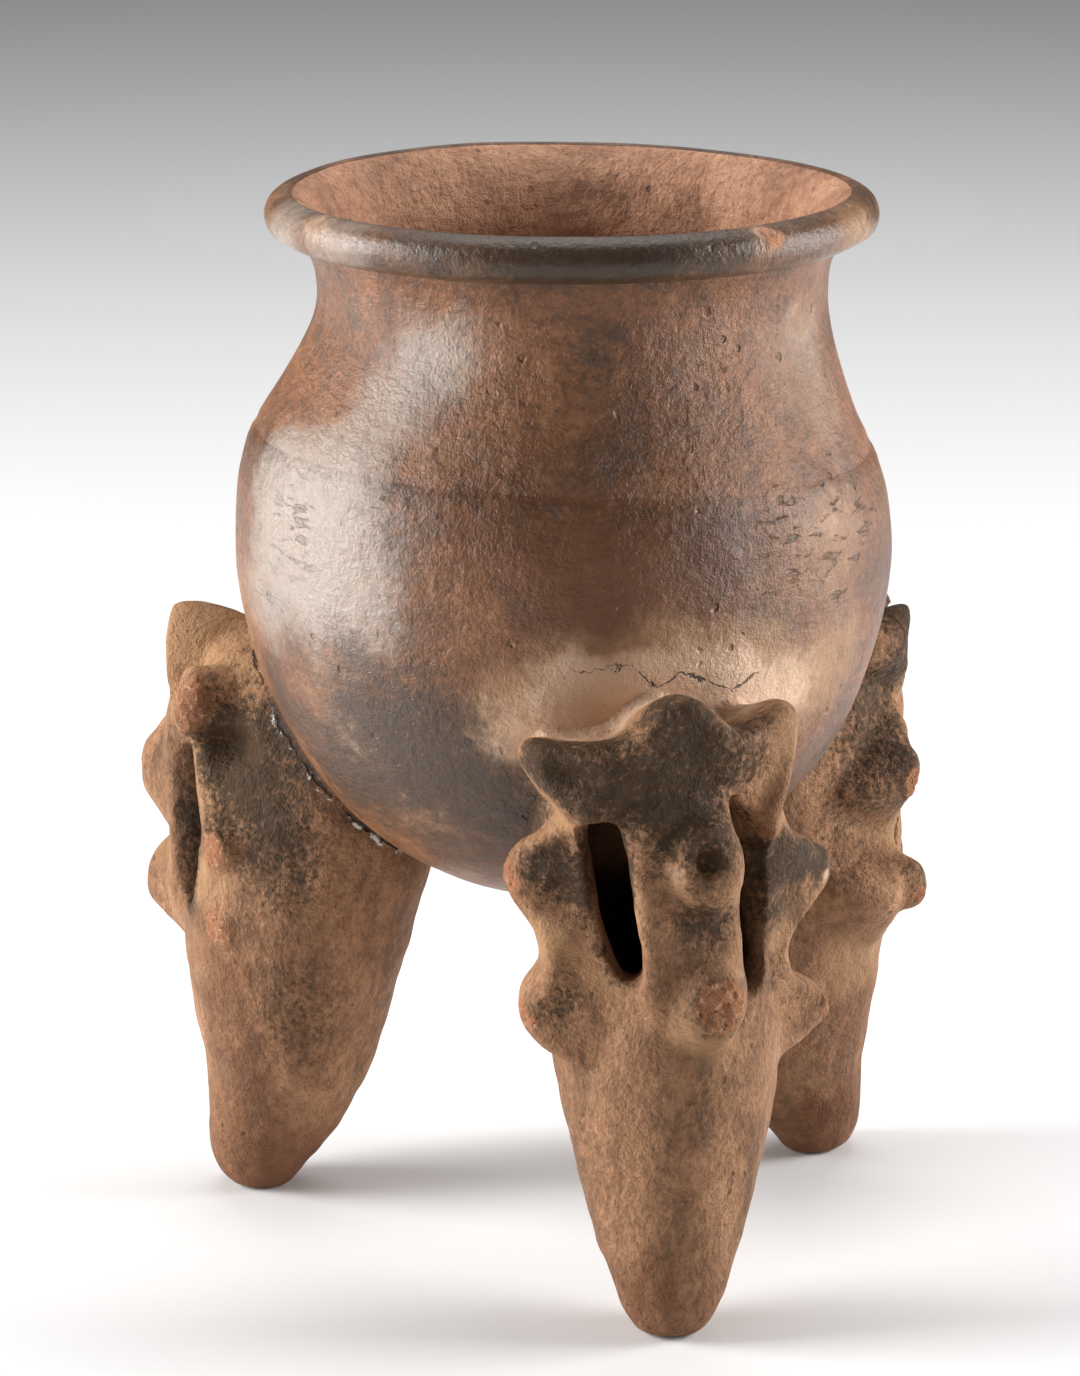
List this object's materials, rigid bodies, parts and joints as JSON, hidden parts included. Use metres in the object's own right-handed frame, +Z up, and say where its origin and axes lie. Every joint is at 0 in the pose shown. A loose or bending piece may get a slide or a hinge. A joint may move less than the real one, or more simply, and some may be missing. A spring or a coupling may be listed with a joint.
{
  "type": "tripod rattle vessel",
  "caption": "Hand-built clay pot with a rolled rim on three hollow, spiked legs that hold loose rattle pellets.",
  "frame": {"origin": "on the ground under the middle of the whole object's box", "axes": "+Z up through the mouth, -Y towards the front leg, +X to the right as the front leg is faced"},
  "size_m": [0.1516, 0.1458, 0.2001],
  "materials": {
    "bowl_clay": "burnished brown slip with grey fire clouds",
    "wall_clay": "worn brown slip, lightly burnished",
    "rim_clay": "dark burnished slip, orange inside",
    "leg_clay": "matt tan clay, smoke darkened",
    "nub_clay": "smoke-dark clay with worn tips",
    "pellet_clay": "rough fired clay, unslipped"
  },
  "bodies": {
    "root": {"bowl": "bowl_clay", "upper_wall": "wall_clay", "rim_coil": "rim_clay", "front_leg_shell": "leg_clay", "front_strap": "leg_clay", "front_crest": "nub_clay", "front_upper_spike_left": "nub_clay", "front_upper_spike_right": "nub_clay", "front_lower_spike_left": "nub_clay", "front_lower_spike_right": "nub_clay", "front_upper_nub": "nub_clay", "front_lower_nub": "nub_clay", "left_leg_shell": "leg_clay", "left_strap": "leg_clay", "left_crest": "nub_clay", "left_upper_spike_left": "nub_clay", "left_upper_spike_right": "nub_clay", "left_lower_spike_left": "nub_clay", "left_lower_spike_right": "nub_clay", "left_upper_nub": "nub_clay", "left_lower_nub": "nub_clay", "right_leg_shell": "leg_clay", "right_strap": "leg_clay", "right_crest": "nub_clay", "right_upper_spike_left": "nub_clay", "right_upper_spike_right": "nub_clay", "right_lower_spike_left": "nub_clay", "right_lower_spike_right": "nub_clay", "right_upper_nub": "nub_clay", "right_lower_nub": "nub_clay"},
    "front_pellet_left": {"front_pellet_left": "pellet_clay"},
    "front_pellet_right": {"front_pellet_right": "pellet_clay"},
    "left_pellet_left": {"left_pellet_left": "pellet_clay"},
    "left_pellet_right": {"left_pellet_right": "pellet_clay"},
    "right_pellet_left": {"right_pellet_left": "pellet_clay"},
    "right_pellet_right": {"right_pellet_right": "pellet_clay"}
  },
  "joints": [
    {"name": "front_pellet_left_slide", "type": "slide", "parent": "root", "child": "front_pellet_left", "axis": [0, 0, 1], "range_m": [0, 0.061]},
    {"name": "front_pellet_right_slide", "type": "slide", "parent": "root", "child": "front_pellet_right", "axis": [0, 0, 1], "range_m": [0, 0.061]},
    {"name": "left_pellet_left_slide", "type": "slide", "parent": "root", "child": "left_pellet_left", "axis": [0, 0, 1], "range_m": [0, 0.062]},
    {"name": "left_pellet_right_slide", "type": "slide", "parent": "root", "child": "left_pellet_right", "axis": [0, 0, 1], "range_m": [0, 0.062]},
    {"name": "right_pellet_left_slide", "type": "slide", "parent": "root", "child": "right_pellet_left", "axis": [0, 0, 1], "range_m": [0, 0.065]},
    {"name": "right_pellet_right_slide", "type": "slide", "parent": "root", "child": "right_pellet_right", "axis": [0, 0, 1], "range_m": [0, 0.065]}
  ]
}
